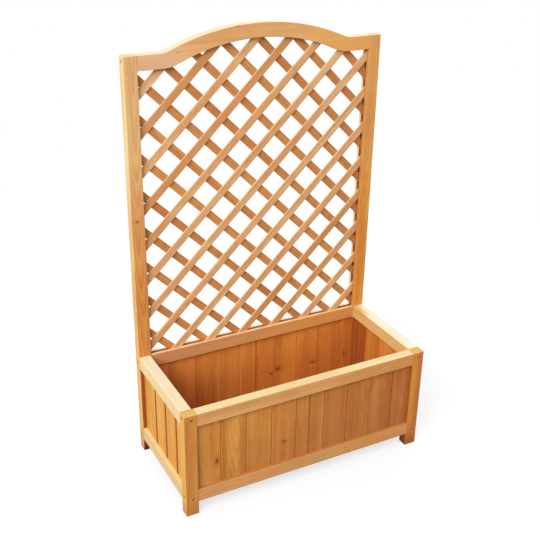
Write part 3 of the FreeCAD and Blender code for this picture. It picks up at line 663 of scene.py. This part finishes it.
half_bay = 0.325                        # crossings nearer to the posts lie in their grooves
rail_top = 0.345                        # and crossings below this in the back rail's
under_radius, under_middle, shoulder = 0.5808, 0.6202, 1.143    # the arched rail's underside
clear_below = 0.014                     # a crossing this far below it is bare
outermost = 8                           # the laths' numbers, either way
numbers = np.arange(-outermost, outermost + 1)
front_number, back_number = np.meshgrid(numbers, numbers)
rising = front_height + front_pitch * front_number.ravel()
falling = back_height + back_pitch * back_number.ravel()
cross_x, cross_z = (falling - rising) / (2 * lath_rise), (falling + rising) / 2
reachable = np.abs(cross_x) < half_bay
cross_x, cross_z = cross_x[reachable], cross_z[reachable]
underside = np.maximum(shoulder, under_middle + np.sqrt(under_radius ** 2 - cross_x ** 2))
bare = (cross_z > rail_top) & (cross_z < underside - clear_below)
cross_x, cross_z = cross_x[bare], cross_z[bare]
shots = np.random.default_rng(8)
furthest_miss, tilt_spread = 0.002, 0.12
missed = shots.uniform(-furthest_miss, furthest_miss, (2, len(cross_x)))
back_face = np.full(len(cross_x), 0.170)
crown_places = np.stack([cross_x + missed[0], back_face, cross_z + missed[1]], axis=1)
crown_tilts = shots.normal(0.0, tilt_spread, len(cross_x))
half_crown, half_wire, half_wire_height = 0.005, 0.0006, 0.0003
crown_points, crown_faces = staple_crowns(crown_places, crown_tilts, half_crown, half_wire,
                                          half_wire_height)
crown_mesh = bpy.data.meshes.new("lath_staples")
crown_mesh.from_pydata(crown_points.tolist(), [], crown_faces)
lath_staples = bpy.data.objects.new("lath_staples", crown_mesh)
bpy.context.scene.collection.objects.link(lath_staples)
crown_mesh.materials.append(steel)
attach(lath_staples, "root")

# ---- Studio -------------------------------------------------------------------------------------
# A white floor and backdrop, a soft lamp in front, above and to the left, a weak one behind, and
# the camera where the photograph was taken from: in front and to the left, above the trellis.

floor_mesh = bpy.data.meshes.new("studio_floor")
floor_reach = 14.0
corners = [(-floor_reach, -floor_reach, 0), (floor_reach, -floor_reach, 0),
           (floor_reach, floor_reach, 0), (-floor_reach, floor_reach, 0)]
floor_mesh.from_pydata(corners, [], [(0, 1, 2, 3)])
floor = bpy.data.objects.new("studio_floor", floor_mesh)
bpy.context.scene.collection.objects.link(floor)


def seen_straight(tree):
    """1 for what the camera, a reflection or a clear piece shows, and 0 for light on its way."""
    path = put(tree, "ShaderNodeLightPath").outputs
    seen = reckon(tree, "ADD", path["Is Camera Ray"], path["Is Glossy Ray"])
    return reckon(tree, "MINIMUM", reckon(tree, "ADD", seen, path["Is Transmission Ray"]), 1.0)


white = (1.0, 1.0, 1.0, 1.0)
paper, tree = new_finish("studio_paper")
seen = seen_straight(tree)
paper_colour = blend_stain(tree, seen, (0.2, 0.2, 0.2, 1), (0.8, 0.8, 0.8, 1))
matt = put(tree, "ShaderNodeBsdfDiffuse", {"Color": paper_colour})
glow = put(tree, "ShaderNodeEmission", {"Color": white, "Strength": 1.0})
floor_spot = put(tree, "ShaderNodeTexCoord").outputs["Object"]
shadow_reach, all_white, least_glow = 0.9, 2.6, 0.7     # the shadow shows near the planter alone
whiteness = fade(tree, length_of(tree, floor_spot), shadow_reach, all_white, least_glow, 1.0)
share = reckon(tree, "MULTIPLY", seen, whiteness)
mixed = put(tree, "ShaderNodeMixShader", {0: share, 1: matt.outputs[0], 2: glow.outputs[0]})
put(tree, "ShaderNodeOutputMaterial", {"Surface": mixed.outputs[0]})
floor_mesh.materials.append(paper)

world = bpy.data.worlds.new("studio_world")
bpy.context.scene.world = world
world.use_nodes = True
tree = world.node_tree
tree.nodes.clear()
soft_light = put(tree, "ShaderNodeBackground", {"Color": white, "Strength": 0.75}).outputs[0]
backdrop = put(tree, "ShaderNodeBackground", {"Color": white, "Strength": 1.0}).outputs[0]
mixed = put(tree, "ShaderNodeMixShader", {0: seen_straight(tree), 1: soft_light, 2: backdrop})
put(tree, "ShaderNodeOutputWorld", {"Surface": mixed.outputs[0]})


def soft_lamp(name, place, target, size, power):
    """A square soft box at place that faces target."""
    light = bpy.data.lights.new(name, "AREA")
    light.shape = "SQUARE"
    light.size = size
    light.energy = power
    lamp = bpy.data.objects.new(name, light)
    bpy.context.scene.collection.objects.link(lamp)
    lamp.location = place
    lamp.rotation_euler = (Vector(target) - Vector(place)).to_track_quat("-Z", "Y").to_euler()
    lamp.visible_camera = False


soft_lamp("key_lamp", (-5.28, -3.60, 5.25), (0.0, 0.0, 0.45), 4.8, 800.0)
soft_lamp("fill_lamp", (2.6, 2.8, 2.6), (0.0, 0.0, 0.45), 3.0, 80.0)

camera_place = (-1.0712, -1.9299, 1.6454)
camera_yaw = math.radians(28.101)      # clockwise from +Y, seen from above
camera_pitch = math.radians(25.561)    # downwards
camera_roll = math.radians(1.025)
camera_lens = 58.6                     # for a sensor 36 wide
camera_data = bpy.data.cameras.new("camera")
camera_data.sensor_width = 36.0
camera_data.lens = camera_lens
camera_data.clip_end = 100.0
camera = bpy.data.objects.new("camera", camera_data)
bpy.context.scene.collection.objects.link(camera)
turned = Matrix.Rotation(-camera_yaw, 4, "Z") @ Matrix.Rotation(math.pi / 2 - camera_pitch, 4, "X")
turned = turned @ Matrix.Rotation(camera_roll, 4, "Z")
camera.matrix_world = Matrix.Translation(camera_place) @ turned
bpy.context.scene.camera = camera
bpy.context.scene.view_settings.view_transform = "Standard"
